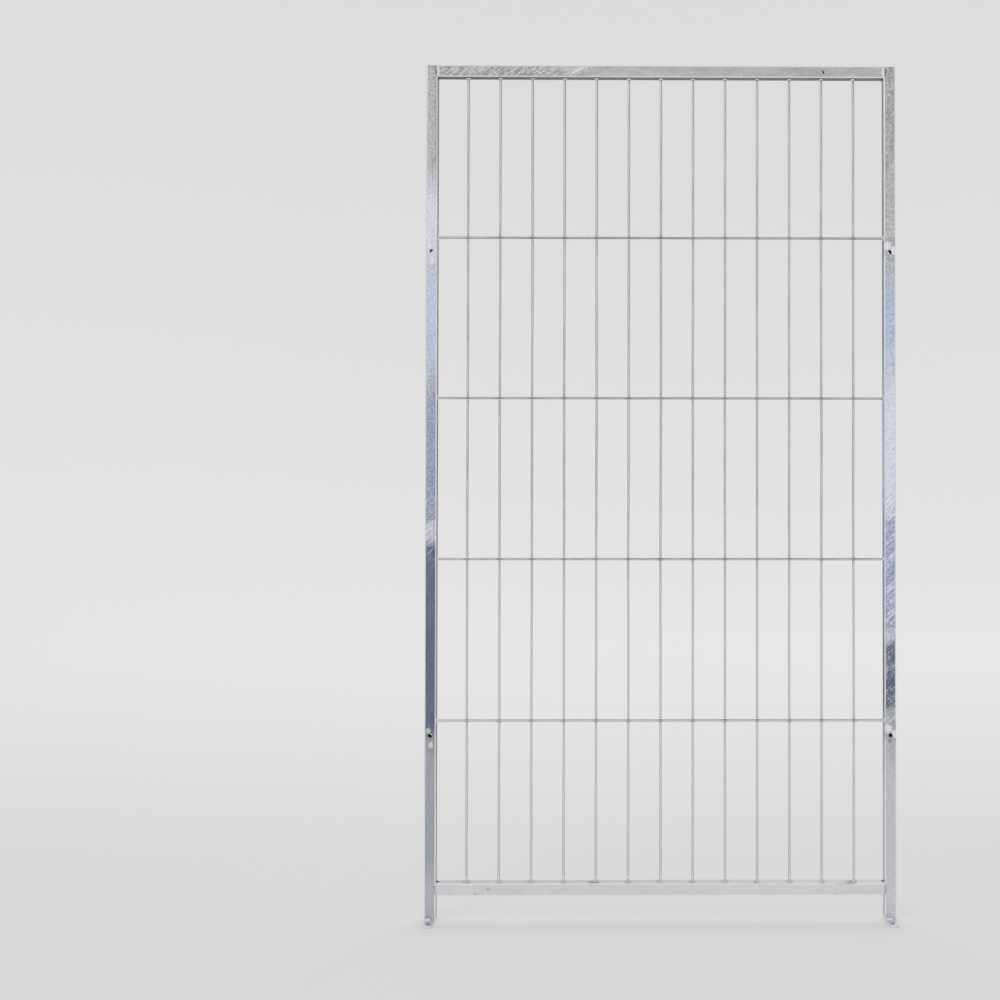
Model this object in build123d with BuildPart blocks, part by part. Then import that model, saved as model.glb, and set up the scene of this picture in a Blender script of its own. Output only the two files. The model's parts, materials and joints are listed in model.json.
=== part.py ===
"""Welded steel bar panel for an animal pen.

Two square-tube stiles and two square-tube rails make the frame. Upright round bars stand
between the rails, round cross bars lie on their front and are welded to them where they
cross, and a flat foot with an anchor hole is welded under each stile.

Millimetres. X runs along the panel, Y through it (front is -Y) and Z up. The origin is on
the floor, under the middle of the panel's width and depth.
"""

import math
import os

from build123d import *

os.makedirs("parts", exist_ok=True)

# Overall sizes
overall_width = 1000.0
overall_height = 1815.0
ground_gap = 55.0  # floor to the underside of the bottom rail

# Square tube of the stiles and rails
tube_size = 25.0
tube_wall = 1.5
tube_radius = 2.5  # outer corner

# Upright bars
bar_count = 13
bar_diameter = 6.0
bar_end_space = 63.4  # stile face to the axis of the first and the last bar

# Cross bars
cross_bar_count = 4
cross_bar_diameter = 6.0
set_down = 0.6  # how far two crossing bars are pressed into each other, half into each

# Bolt holes through the stiles, front to back
bolt_hole_diameter = 8.0
bolt_hole_drop = 30.0  # below the axis of the highest and the lowest cross bar

# Feet
foot_width = 20.0
foot_thickness = 4.0
foot_reach = 35.0  # in front of the stile
foot_corner_radius = 2.0
anchor_hole_diameter = 8.0
anchor_hole_edge = 12.0  # from the front edge of the foot to the hole's axis

# Drain and vent holes for the plating bath
drain_hole_diameter = 8.0
drain_hole_inset = 3.0  # from the rail's end to the hole's axis
drain_hole_back = 2.0  # behind the middle of the rail
vent_slot_length = 8.5
vent_slot_width = 3.5
vent_slot_turn = -60.0  # its long axis, from the rail's own direction
vent_slot_inset = 129.0  # from the right end of the top rail

# Weld metal
collar_height = 1.6  # along the bar
collar_foot = 1.4  # wider than the bar, at the tube
collar_neck = 0.4  # wider than the bar, at the other end
nugget_radius = 3.4
nugget_thickness = 2.2
seam_width = 5.0
seam_height = 0.9
seam_depth = 1.2  # into the groove beside the stile's rounded edge
seam_end = 1.5  # short of the tube's edges
foot_weld_length = 13.0
foot_weld_leg = 3.5
foot_weld_shift = -3.0  # beside the middle of the stile

# Places that follow from the sizes
inner_width = overall_width - 2 * tube_size
stile_x = (overall_width - tube_size) / 2
tube_y = foot_reach / 2
front_y = tube_y - tube_size / 2
back_y = tube_y + tube_size / 2
bottom_rail_top = ground_gap + tube_size
top_rail_underside = overall_height - tube_size
bar_length = top_rail_underside - bottom_rail_top
bar_pitch = (inner_width - 2 * bar_end_space) / (bar_count - 1)
bar_xs = [(n - (bar_count - 1) / 2) * bar_pitch for n in range(bar_count)]
bay_height = bar_length / (cross_bar_count + 1)
cross_bar_zs = [top_rail_underside - (n + 1) * bay_height for n in range(cross_bar_count)]
bolt_hole_zs = [cross_bar_zs[0] - bolt_hole_drop, cross_bar_zs[-1] - bolt_hole_drop]
crossing_y = tube_y - (bar_diameter - set_down) / 2
cross_bar_y = crossing_y - (cross_bar_diameter - set_down) / 2
anchor_hole_y = front_y - foot_reach + anchor_hole_edge
sides = (("left", -1), ("right", 1))


def flat_width(diameter):
    """Width of the patch that the set-down presses between a bar and one across it."""
    return 2 * math.sqrt(set_down * (diameter - set_down))


def tube_section():
    """Draw the square tube's ring in the sketch that is open."""
    inner_size = tube_size - 2 * tube_wall
    RectangleRounded(tube_size, tube_size, tube_radius)
    RectangleRounded(inner_size, inner_size, tube_radius - tube_wall, mode=Mode.SUBTRACT)


def weld_collar(diameter):
    """Add a ring of weld metal round a bar, from the tube face of the open location."""
    rise = (Align.CENTER, Align.CENTER, Align.MIN)
    radius = diameter / 2
    Cone(radius + collar_foot, radius + collar_neck, collar_height, align=rise)
    Cylinder(radius, collar_height, align=rise, mode=Mode.SUBTRACT)


# Stiles: they run from the foot to the top, with the bolt holes through both walls
for side_name, side in sides:
    with BuildPart() as stile:
        with BuildSketch(Plane(origin=(side * stile_x, tube_y, foot_thickness))):
            tube_section()
        extrude(amount=overall_height - foot_thickness)
        hole_planes = [
            Plane(origin=(side * stile_x, front_y, z), z_dir=(0, -1, 0)) for z in bolt_hole_zs
        ]
        with Locations(*hole_planes):
            Hole(bolt_hole_diameter / 2, depth=tube_size)
    stile.part.label = f"stile_{side_name}"
    export_step(stile.part, f"parts/stile_{side_name}.step")

# Top rail: butts between the stiles, with a slanted vent slot in its front wall
with BuildPart() as top_rail:
    top_rail_z = overall_height - tube_size / 2
    with BuildSketch(Plane(origin=(-inner_width / 2, tube_y, top_rail_z), z_dir=(1, 0, 0))):
        tube_section()
    extrude(amount=inner_width)
    vent_slot_x = inner_width / 2 - vent_slot_inset
    slot_plane = Plane(origin=(vent_slot_x, front_y, top_rail_z), x_dir=(1, 0, 0), z_dir=(0, -1, 0))
    with BuildSketch(slot_plane):
        SlotOverall(vent_slot_length, vent_slot_width, rotation=vent_slot_turn)
    extrude(amount=-2 * tube_wall, mode=Mode.SUBTRACT)
top_rail.part.label = "top_rail"
export_step(top_rail.part, "parts/top_rail.step")

# Bottom rail: butts between the stiles, with a drain notch in its top wall at each end
with BuildPart() as bottom_rail:
    bottom_rail_z = ground_gap + tube_size / 2
    with BuildSketch(Plane(origin=(-inner_width / 2, tube_y, bottom_rail_z), z_dir=(1, 0, 0))):
        tube_section()
    extrude(amount=inner_width)
    drain_x = inner_width / 2 - drain_hole_inset
    drain_y = tube_y + drain_hole_back
    with Locations((-drain_x, drain_y, bottom_rail_top), (drain_x, drain_y, bottom_rail_top)):
        Hole(drain_hole_diameter / 2, depth=2 * tube_wall)
bottom_rail.part.label = "bottom_rail"
export_step(bottom_rail.part, "parts/bottom_rail.step")

# Upright bars: a small flat faces each cross bar, where the two are pressed together
for number, bar_x in enumerate(bar_xs, start=1):
    with BuildPart() as bar:
        with Locations((bar_x, tube_y, bottom_rail_top + bar_length / 2)):
            Cylinder(bar_diameter / 2, bar_length)
        with Locations(*[(bar_x, crossing_y, z) for z in cross_bar_zs]):
            Box(
                bar_diameter,
                bar_diameter,
                flat_width(cross_bar_diameter),
                align=(Align.CENTER, Align.MAX, Align.CENTER),
                mode=Mode.SUBTRACT,
            )
    bar.part.label = f"bar_{number:02d}"
    export_step(bar.part, f"parts/bar_{number:02d}.step")

# Cross bars: they lie on the front of the upright bars and end on the stiles
for number, cross_bar_z in enumerate(cross_bar_zs, start=1):
    with BuildPart() as cross_bar:
        with Locations((0, cross_bar_y, cross_bar_z)):
            Cylinder(cross_bar_diameter / 2, inner_width, rotation=(0, 90, 0))
        with Locations(*[(x, crossing_y, cross_bar_z) for x in bar_xs]):
            Box(
                flat_width(bar_diameter),
                cross_bar_diameter,
                cross_bar_diameter,
                align=(Align.CENTER, Align.MIN, Align.CENTER),
                mode=Mode.SUBTRACT,
            )
    cross_bar.part.label = f"cross_bar_{number}"
    export_step(cross_bar.part, f"parts/cross_bar_{number}.step")

# Feet: flat bar across the stile's open end, reaching forward to the anchor hole
for side_name, side in sides:
    with BuildPart() as foot:
        with Locations((side * stile_x, 0, foot_thickness / 2)):
            Box(foot_width, foot_reach + tube_size, foot_thickness)
        fillet(foot.edges().filter_by(Axis.Z), foot_corner_radius)
        with Locations((side * stile_x, anchor_hole_y, foot_thickness)):
            Hole(anchor_hole_diameter / 2, depth=foot_thickness)
    foot.part.label = f"foot_{side_name}"
    export_step(foot.part, f"parts/foot_{side_name}.step")

# Welds at the bars' lower ends
with BuildPart() as bar_bottom_welds:
    with Locations(*[(x, tube_y, bottom_rail_top) for x in bar_xs]):
        weld_collar(bar_diameter)
bar_bottom_welds.part.label = "bar_bottom_welds"
export_step(bar_bottom_welds.part, "parts/bar_bottom_welds.step")

# Welds at the bars' upper ends
with BuildPart() as bar_top_welds:
    top_planes = [
        Plane(origin=(x, tube_y, top_rail_underside), z_dir=(0, 0, -1)) for x in bar_xs
    ]
    with Locations(*top_planes):
        weld_collar(bar_diameter)
bar_top_welds.part.label = "bar_top_welds"
export_step(bar_top_welds.part, "parts/bar_top_welds.step")

# Welds at the cross bars' ends
for side_name, side in sides:
    with BuildPart() as cross_bar_end_welds:
        end_planes = [
            Plane(origin=(side * inner_width / 2, cross_bar_y, z), z_dir=(-side, 0, 0))
            for z in cross_bar_zs
        ]
        with Locations(*end_planes):
            weld_collar(cross_bar_diameter)
    cross_bar_end_welds.part.label = f"cross_bar_end_welds_{side_name}"
    export_step(cross_bar_end_welds.part, f"parts/cross_bar_end_welds_{side_name}.step")

# Weld nuggets where the bars cross: a small disc that both bars cut through
with BuildPart() as nugget:
    Cylinder(nugget_radius, nugget_thickness, rotation=(90, 0, 0))
    with Locations((0, tube_y - crossing_y, 0)):
        Cylinder(bar_diameter / 2, 4 * nugget_radius, mode=Mode.SUBTRACT)
    with Locations((0, cross_bar_y - crossing_y, 0)):
        Cylinder(
            cross_bar_diameter / 2,
            4 * nugget_radius,
            rotation=(0, 90, 0),
            mode=Mode.SUBTRACT,
        )

for number, cross_bar_z in enumerate(cross_bar_zs, start=1):
    with BuildPart() as crossing_welds:
        with Locations(*[(x, crossing_y, cross_bar_z) for x in bar_xs]):
            add(nugget.part)
    crossing_welds.part.label = f"crossing_welds_{number}"
    export_step(crossing_welds.part, f"parts/crossing_welds_{number}.step")

# Corner seams: a bead down the front and one down the back of each stile and rail joint
for side_name, side in sides:
    for rail_name, rail_underside in (("top", top_rail_underside), ("bottom", ground_gap)):
        joint_x = side * inner_width / 2
        with BuildPart() as corner_welds:
            with BuildSketch(Plane.XY.offset(rail_underside + seam_end)):
                with Locations((joint_x, front_y), (joint_x, back_y)):
                    Ellipse(seam_width / 2, seam_height)
                with Locations((joint_x + side * tube_radius / 2, tube_y)):
                    Rectangle(tube_radius, tube_size)
                    Rectangle(tube_radius, tube_size - 2 * seam_depth, mode=Mode.SUBTRACT)
                with Locations((side * stile_x, tube_y)):
                    RectangleRounded(tube_size, tube_size, tube_radius, mode=Mode.SUBTRACT)
                with Locations((0, tube_y)):
                    Rectangle(inner_width, tube_size, mode=Mode.SUBTRACT)
            extrude(amount=tube_size - 2 * seam_end)
        corner_welds.part.label = f"corner_welds_{rail_name}_{side_name}"
        export_step(corner_welds.part, f"parts/corner_welds_{rail_name}_{side_name}.step")

# Foot welds: a short bead in the corner between the stile's front and the foot
for side_name, side in sides:
    with BuildPart() as foot_weld:
        weld_x = side * stile_x + foot_weld_shift
        corner = Plane(origin=(weld_x, front_y, foot_thickness), x_dir=(0, -1, 0), z_dir=(-1, 0, 0))
        with BuildSketch(corner):
            with BuildLine():
                Line((0, 0), (foot_weld_leg, 0))
                RadiusArc((foot_weld_leg, 0), (0, foot_weld_leg), -foot_weld_leg)
                Line((0, foot_weld_leg), (0, 0))
            make_face()
        extrude(amount=foot_weld_length / 2, both=True)
    foot_weld.part.label = f"foot_weld_{side_name}"
    export_step(foot_weld.part, f"parts/foot_weld_{side_name}.step")
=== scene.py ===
import json
import math

import bmesh
import bpy
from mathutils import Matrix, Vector


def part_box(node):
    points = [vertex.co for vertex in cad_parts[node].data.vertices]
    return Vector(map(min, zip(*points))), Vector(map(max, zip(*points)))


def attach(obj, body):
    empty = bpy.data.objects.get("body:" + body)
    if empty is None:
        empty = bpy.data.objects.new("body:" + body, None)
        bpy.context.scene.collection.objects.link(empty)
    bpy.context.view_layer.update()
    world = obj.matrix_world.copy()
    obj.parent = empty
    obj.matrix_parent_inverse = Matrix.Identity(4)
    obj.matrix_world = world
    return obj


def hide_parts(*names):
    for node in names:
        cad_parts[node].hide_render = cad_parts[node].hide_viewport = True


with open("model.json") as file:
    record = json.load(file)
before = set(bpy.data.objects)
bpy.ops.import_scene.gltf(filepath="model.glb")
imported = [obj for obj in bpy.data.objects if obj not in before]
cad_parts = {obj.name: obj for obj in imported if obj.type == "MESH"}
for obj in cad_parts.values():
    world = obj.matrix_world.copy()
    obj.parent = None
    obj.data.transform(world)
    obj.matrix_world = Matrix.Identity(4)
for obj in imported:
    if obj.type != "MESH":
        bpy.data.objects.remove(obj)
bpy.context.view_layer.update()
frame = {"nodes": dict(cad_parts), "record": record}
collection = bpy.context.scene.collection

# Camera: nearly level, a little left of the panel's middle and about a metre up, so the bottom
# rail shows its top, the top rail its underside and both stiles a little of their inner sides.
camera_data = bpy.data.cameras.new("camera")
camera_data.lens = 44.88
camera_data.shift_x = -0.1284
camera_data.shift_y = -0.0783
camera = bpy.data.objects.new("camera", camera_data)
camera.location = (-0.0904, -2.6418, 1.020)
camera.rotation_euler = (math.radians(90.78), math.radians(-0.063), math.radians(-0.464))
collection.objects.link(camera)
bpy.context.scene.camera = camera


# Stage: a pale round floor that sweeps up into a low wall on every side, so it has no horizon.
def finished_mesh(name, shape):
    """Turn a shape under construction into a mesh."""
    mesh = bpy.data.meshes.new(name)
    shape.to_mesh(mesh)
    shape.free()
    return mesh


def put_in_scene(name, mesh):
    """Put a mesh into the scene as an object."""
    piece = bpy.data.objects.new(name, mesh)
    collection.objects.link(piece)
    return piece


def turned_surface(name, outline, steps):
    """Turn an outline of (radius, height) points about the Z axis into a smooth mesh."""
    shape = bmesh.new()
    rings = []
    for radius, height in outline:
        turns = [math.tau * step / steps for step in range(steps)]
        rings.append(
            [shape.verts.new((radius * math.cos(t), radius * math.sin(t), height)) for t in turns]
        )
    for inner, outer in zip(rings, rings[1:]):
        for step in range(steps):
            after = (step + 1) % steps
            shape.faces.new((inner[step], outer[step], outer[after], inner[after]))
    shape.faces.new(rings[0])
    for face in shape.faces:
        face.smooth = True
    return finished_mesh(name, shape)


floor_radius = 4.5
sweep_radius = 6.0
wall_height = 8.0
sweep = [
    (
        floor_radius + sweep_radius * math.sin(math.radians(angle)),
        sweep_radius * (1 - math.cos(math.radians(angle))),
    )
    for angle in range(0, 91, 6)
]
outline = [(1.0, 0.0), (3.0, 0.0), *sweep, (floor_radius + sweep_radius, wall_height)]
floor = put_in_scene("floor", turned_surface("floor", outline, 96))
floor_paint = bpy.data.materials.new("floor_paint")
floor_paint.use_nodes = True
floor_shader = floor_paint.node_tree.nodes["Principled BSDF"]
floor_shader.inputs["Base Color"].default_value = (0.80, 0.80, 0.79, 1.0)
floor_shader.inputs["Roughness"].default_value = 0.85
floor.data.materials.append(floor_paint)

# Studio light: an even pale room, one large soft key from the upper left and two soft panels
# behind the camera, which are what the flat faces of the tubes mirror.
world = bpy.data.worlds.new("room")
world.use_nodes = True
world.node_tree.nodes["Background"].inputs["Color"].default_value = (0.93, 0.96, 1.0, 1.0)
world.node_tree.nodes["Background"].inputs["Strength"].default_value = 1.0
bpy.context.scene.world = world


def soft_panel(name, place, target, width, height, watts):
    """Hang a soft rectangular light at a place and turn it to a target."""
    light = bpy.data.lights.new(name, "AREA")
    light.shape = "RECTANGLE"
    light.size = width
    light.size_y = height
    light.energy = watts
    lamp = bpy.data.objects.new(name, light)
    lamp.location = place
    lamp.rotation_euler = (Vector(target) - Vector(place)).to_track_quat("-Z", "Y").to_euler()
    lamp.visible_camera = False
    collection.objects.link(lamp)


panel_middle = (0.0, 0.0, 0.9)
soft_panel("key_light", (-3.2, -3.6, 4.2), panel_middle, 2.6, 2.6, 260)
soft_panel("left_window", (-1.2, -5.2, 1.95), (-0.5, 0.0, 1.3), 1.5, 1.0, 45)
soft_panel("right_window", (1.9, -5.2, 1.30), (0.5, 0.0, 1.1), 1.5, 1.5, 60)
soft_panel("back_light", (2.4, 3.4, 3.4), panel_middle, 2.4, 2.4, 100)
for side in (-1, 1):
    soft_panel("wall_light", (side * 3.0, 2.0, 4.6), (side * 3.4, 9.0, 2.0), 3.0, 2.0, 650)
soft_panel("floor_light", (0.0, 2.6, 4.4), (0.0, 2.4, 0.0), 4.0, 2.4, 260)


# Stiles: square steel tube, roll-formed and seam-welded, cut to the panel's full height, drilled
# through twice for screws and then electroplated with zinc, which dries blotchy and bluish.
# The plated face carries fine slanting marks from handling and bright scuffs round the holes.
tube_wall = 0.0015
tube_corner = 0.0025
screw_holes = next(m for m in frame["record"]["mounts"] if m["name"] == "stile_bolt_holes")
screw_hole_radius = screw_holes["dims"]["hole_r_mm"] / 1000
screw_hole_heights = [
    screw_holes["pos_m"][2] + half * screw_holes["dims"]["spacing_y_mm"] / 1000
    for half in (-0.5, 0.5)
]


def rounded_square(half, corner):
    """Outline points of a square with round corners, with close pairs beside each tangent."""
    points = []
    flat_end = half - corner
    for quarter in range(4):
        turn = quarter * math.tau / 4
        arc = [turn + math.radians(angle) for angle in range(0, 91, 15)]
        centre_u = flat_end * (1 if quarter in (0, 3) else -1)
        centre_v = flat_end * (1 if quarter in (0, 1) else -1)
        corner_points = [
            (centre_u + corner * math.cos(t), centre_v + corner * math.sin(t)) for t in arc
        ]
        first, last = corner_points[0], corner_points[-1]
        nudge = 0.00025
        before = (first[0] + nudge * math.sin(turn), first[1] - nudge * math.cos(turn))
        turn_end = turn + math.tau / 4
        after = (last[0] - nudge * math.sin(turn_end), last[1] + nudge * math.cos(turn_end))
        points += [before, *corner_points, after]
    return points


def square_tube(name, low, high, along):
    """Make a hollow square tube that fills a box, open at both ends along axis 0 or 2."""
    across = [axis for axis in range(3) if axis != along]
    half = (high[across[0]] - low[across[0]]) / 2
    middle = (Vector(low) + Vector(high)) / 2
    shape = bmesh.new()

    def ring(outline, place):
        corners = []
        for u, v in outline:
            point = [0.0, 0.0, 0.0]
            point[across[0]] = middle[across[0]] + u
            point[across[1]] = middle[across[1]] + v
            point[along] = place
            corners.append(shape.verts.new(point))
        return corners

    outside = rounded_square(half, tube_corner)
    inside = rounded_square(half - tube_wall, tube_corner - tube_wall)
    steps = max(2, round((high[along] - low[along]) / 0.1))
    places = [low[along] + (high[along] - low[along]) * n / steps for n in range(steps + 1)]
    outer_rings = [ring(outside, place) for place in places]
    inner_rings = [ring(inside, place) for place in places]
    count = len(outside)
    for rings in (outer_rings, inner_rings):
        for one, two in zip(rings, rings[1:]):
            for n in range(count):
                m = (n + 1) % count
                shape.faces.new((one[n], one[m], two[m], two[n]))
    for end in (0, -1):
        for n in range(count):
            m = (n + 1) % count
            shape.faces.new(
                (outer_rings[end][n], outer_rings[end][m], inner_rings[end][m], inner_rings[end][n])
            )
    bmesh.ops.recalc_face_normals(shape, faces=shape.faces)
    return put_in_scene(name, finished_mesh(name, shape))


def settle(piece):
    """Turn what a piece's modifiers make of it into its own mesh, smooth but for sharp edges."""
    seen = piece.evaluated_get(bpy.context.evaluated_depsgraph_get())
    mesh = bpy.data.meshes.new_from_object(seen)
    piece.modifiers.clear()
    piece.data = mesh
    mesh.shade_smooth()
    mesh.set_sharp_from_angle(angle=math.radians(32))
    return piece


hole_facets = 32
drill_past = 0.002  # how far the drill reaches past a face


def drill(piece, radius, start, end):
    """Cut a round hole through a piece between two points, with no burr."""
    start, end = Vector(start), Vector(end)
    turn = (end - start).to_track_quat("Z", "Y")
    shape = bmesh.new()
    bmesh.ops.create_cone(
        shape,
        cap_ends=True,
        segments=hole_facets,
        radius1=radius,
        radius2=radius,
        depth=(end - start).length,
    )
    bmesh.ops.rotate(shape, verts=shape.verts, matrix=turn.to_matrix())
    bmesh.ops.translate(shape, verts=shape.verts, vec=(start + end) / 2)
    cut_out(piece, finished_mesh("drill", shape))


def cut_out(piece, mesh):
    """Cut a closed mesh out of a piece."""
    cutter = put_in_scene("cutter", mesh)
    cut = piece.modifiers.new("cut", "BOOLEAN")
    cut.operation = "DIFFERENCE"
    cut.solver = "EXACT"
    cut.object = cutter
    settle(piece)
    bpy.data.objects.remove(cutter)


def feed(tree, socket, value):
    """Link a socket to another node's output, or set it to a plain value."""
    if isinstance(value, bpy.types.NodeSocket):
        tree.links.new(value, socket)
    else:
        socket.default_value = value


def add_node(tree, kind, inputs=None, **settings):
    """Add a node, set it up, and link or set its inputs."""
    made = tree.nodes.new(kind)
    for name, value in settings.items():
        setattr(made, name, value)
    for name, value in (inputs or {}).items():
        feed(tree, made.inputs[name], value)
    return made


def maths(tree, operation, first, second=0.0, third=0.0):
    """Add a sum and return its result."""
    inputs = {0: first, 1: second, 2: third}
    return add_node(tree, "ShaderNodeMath", inputs, operation=operation).outputs[0]


def product(tree, first, second):
    """Multiply two values."""
    return maths(tree, "MULTIPLY", first, second)


def vector_maths(tree, operation, first, second):
    """Add a sum of two vectors and return its result."""
    inputs = {0: first, 1: second}
    return add_node(tree, "ShaderNodeVectorMath", inputs, operation=operation).outputs[0]


def lengthened(tree, arrow, gain):
    """Multiply a vector or a colour by a factor."""
    inputs = {0: arrow, "Scale": gain}
    return add_node(tree, "ShaderNodeVectorMath", inputs, operation="SCALE").outputs[0]


def length_of(tree, arrow):
    """Measure a vector."""
    return add_node(tree, "ShaderNodeVectorMath", {0: arrow}, operation="LENGTH").outputs["Value"]


def parts_of(tree, arrow):
    """Split a vector into X, Y and Z."""
    return add_node(tree, "ShaderNodeSeparateXYZ", {0: arrow}).outputs


def rolled(tree, arrow, angle):
    """Turn a vector about the Y axis."""
    inputs = {"Vector": arrow, "Angle": angle}
    return add_node(tree, "ShaderNodeVectorRotate", inputs, rotation_type="Y_AXIS").outputs[0]


def noise(tree, dimensions="3D", **inputs):
    """Add a noise and return its outputs, a value and then a colour."""
    return add_node(tree, "ShaderNodeTexNoise", inputs, noise_dimensions=dimensions).outputs


def stirred(tree, value, noise_value, reach):
    """Push a value up and down by a noise, by up to half the reach each way."""
    return maths(tree, "MULTIPLY_ADD", maths(tree, "SUBTRACT", noise_value, 0.5), reach, value)


def ramp(tree, value, low, high, to_low=0.0, to_high=1.0):
    """Ease a value from one range to another."""
    inputs = {
        "Value": value, "From Min": low, "From Max": high, "To Min": to_low, "To Max": to_high
    }
    made = add_node(tree, "ShaderNodeMapRange", inputs, interpolation_type="SMOOTHSTEP")
    return made.outputs["Result"]


def shared_effect(name, inputs, outputs):
    """Start a shader node group with named inputs and outputs, and return its tree and ends."""
    group = bpy.data.node_groups.new(name, "ShaderNodeTree")
    for label, value in inputs.items():
        kind = "NodeSocketFloat" if isinstance(value, float) else "NodeSocketVector"
        socket = group.interface.new_socket(label, in_out="INPUT", socket_type=kind)
        if value is not None:
            socket.default_value = value
    for label in outputs:
        group.interface.new_socket(label, in_out="OUTPUT", socket_type="NodeSocketFloat")
    ends = group.nodes.new("NodeGroupOutput").inputs
    return group, group.nodes.new("NodeGroupInput").outputs, ends


# Zinc blotches: broad clouds where the plating dried unevenly, and small flecks.
blotches, given, made = shared_effect(
    "zinc_blotches",
    {"Vector": None, "Stretch": (1.0, 1.0, 1.0), "Scale": 18.0, "Seed": 0.0},
    ["Clouds", "Flecks"],
)
clouds = noise(
    blotches,
    "4D",
    Vector=vector_maths(blotches, "MULTIPLY", given["Vector"], given["Stretch"]),
    W=given["Seed"],
    Scale=given["Scale"],
    Detail=5.0,
    Roughness=0.62,
    Distortion=0.7,
)
flecks = noise(
    blotches,
    "4D",
    Vector=given["Vector"],
    W=given["Seed"],
    Scale=product(blotches, given["Scale"], 4.6),
    Detail=3.0,
    Roughness=0.6,
)
feed(blotches, made["Clouds"], ramp(blotches, clouds[0], 0.32, 0.68))
feed(blotches, made["Flecks"], ramp(blotches, flecks[0], 0.40, 0.66))

# Handling marks: fine parallel scratches across a face, turned by an angle about its normal.
marks, given, made = shared_effect(
    "handling_marks",
    {"Vector": None, "Angle": 0.6, "Fineness": 260.0, "Coverage": 0.5, "Seed": 0.0},
    ["Marks"],
)
turned = rolled(marks, given["Vector"], given["Angle"])
streaks = noise(
    marks,
    "4D",
    Vector=vector_maths(marks, "MULTIPLY", turned, (0.07, 0.4, 1.0)),
    W=given["Seed"],
    Scale=given["Fineness"],
    Detail=3.0,
    Roughness=0.7,
)
where = noise(marks, "4D", Vector=given["Vector"], W=given["Seed"], Scale=34.0, Detail=3.0)
edge_of_patch = maths(marks, "SUBTRACT", 1.0, given["Coverage"])
patch_start = maths(marks, "SUBTRACT", edge_of_patch, 0.12)
patch = ramp(marks, where[0], patch_start, edge_of_patch)
feed(marks, made["Marks"], product(marks, ramp(marks, streaks[0], 0.50, 0.62), patch))

# Rounded edges of a tube: a painted highlight along each of the tube's rounded corners.
edges, given, made = shared_effect(
    "painted_edge_highlights", {"Vector": None, "Half Size": 0.0125, "Corner": 0.0025}, ["Edge"]
)
split = parts_of(edges, given["Vector"])
first_side = maths(edges, "ABSOLUTE", split["X"])
second_side = maths(edges, "ABSOLUTE", split["Y"])
nearer = maths(edges, "MINIMUM", first_side, second_side)
flat_end = maths(edges, "SUBTRACT", given["Half Size"], given["Corner"])
edge_start = maths(edges, "MULTIPLY_ADD", given["Corner"], -0.05, flat_end)
edge_full = maths(edges, "MULTIPLY_ADD", given["Corner"], 0.35, flat_end)
feed(edges, made["Edge"], ramp(edges, nearer, edge_start, edge_full))

# A mark at one place: full inside a radius about a point, with a ragged rim.
spot, given, made = shared_effect(
    "ragged_spot",
    {
        "Vector": None,
        "Centre": (0.0, 0.0, 0.0),
        "Stretch": (1.0, 1.0, 1.0),
        "Radius": 0.01,
        "Raggedness": 1.3,
    },
    ["Spot"],
)
away = vector_maths(spot, "SUBTRACT", given["Vector"], given["Centre"])
squeezed = vector_maths(spot, "MULTIPLY", away, given["Stretch"])
share = maths(spot, "DIVIDE", length_of(spot, squeezed), given["Radius"])
rim = noise(spot, Vector=given["Vector"], Scale=260.0, Detail=4.0, Roughness=0.65)
ragged = stirred(spot, share, rim[0], given["Raggedness"])
grain = noise(spot, Vector=given["Vector"], Scale=380.0, Detail=3.0)
grainy = ramp(spot, grain[0], 0.35, 0.6, 0.4)
feed(spot, made["Spot"], product(spot, ramp(spot, ragged, 1.0, 0.55), grainy))


def effect(tree, group, **inputs):
    """Place a shared effect in a material with its own values."""
    named = {name.replace("_", " "): value for name, value in inputs.items()}
    return add_node(tree, "ShaderNodeGroup", named, node_tree=group).outputs


def blend_colour(tree, amount, first, second):
    """Mix two colours by an amount."""
    inputs = {0: amount, 6: first, 7: second}
    return add_node(tree, "ShaderNodeMix", inputs, data_type="RGBA").outputs[2]


def blend_value(tree, amount, first, second):
    """Mix two numbers by an amount."""
    return add_node(tree, "ShaderNodeMix", {0: amount, 2: first, 3: second}).outputs[0]


def own_space(tree):
    """Give a point's place in the piece's own space."""
    return add_node(tree, "ShaderNodeTexCoord").outputs["Object"]


def start_plating(name):
    """Start a plated material; return it, its tree, its shader's inputs and its own space."""
    surface = bpy.data.materials.new(name)
    surface.use_nodes = True
    tree = surface.node_tree
    shown = tree.nodes["Principled BSDF"].inputs
    shown["Metallic"].default_value = 1.0
    return surface, tree, shown, own_space(tree)


def raise_surface(tree, shown, height, strength, distance):
    """Give a plated surface its fine relief."""
    inputs = {"Height": height, "Strength": strength, "Distance": distance}
    feed(tree, shown["Normal"], add_node(tree, "ShaderNodeBump", inputs).outputs[0])


def lay_over(surface, mask, colour, roughness):
    """Lay a mark over what a surface shows so far."""
    tree = surface.node_tree
    shown = tree.nodes["Principled BSDF"].inputs
    below = shown["Base Color"].links[0].from_socket
    feed(tree, shown["Base Color"], blend_colour(tree, mask, below, colour))
    below = shown["Roughness"].links[0].from_socket
    feed(tree, shown["Roughness"], blend_value(tree, mask, below, roughness))


def height_mask(tree, place, low, high, fade):
    """Say how far a point lies between two places on Z, with long soft ragged ends."""
    stir = noise(tree, Vector=place, Scale=34.0, Detail=6.0)[0]
    height = stirred(tree, parts_of(tree, place)["Z"], stir, 1.6 * fade)
    rise = ramp(tree, height, low - fade, low + fade)
    fall = ramp(tree, height, high - fade, high + fade, 1.0, 0.0)
    return product(tree, rise, fall)


def facing_aside(tree, start, full):
    """Say how far a surface is turned away from the panel's front and back."""
    normal = add_node(tree, "ShaderNodeNewGeometry").outputs["Normal"]
    return ramp(tree, maths(tree, "ABSOLUTE", parts_of(tree, normal)["Y"]), start, full)


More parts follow.
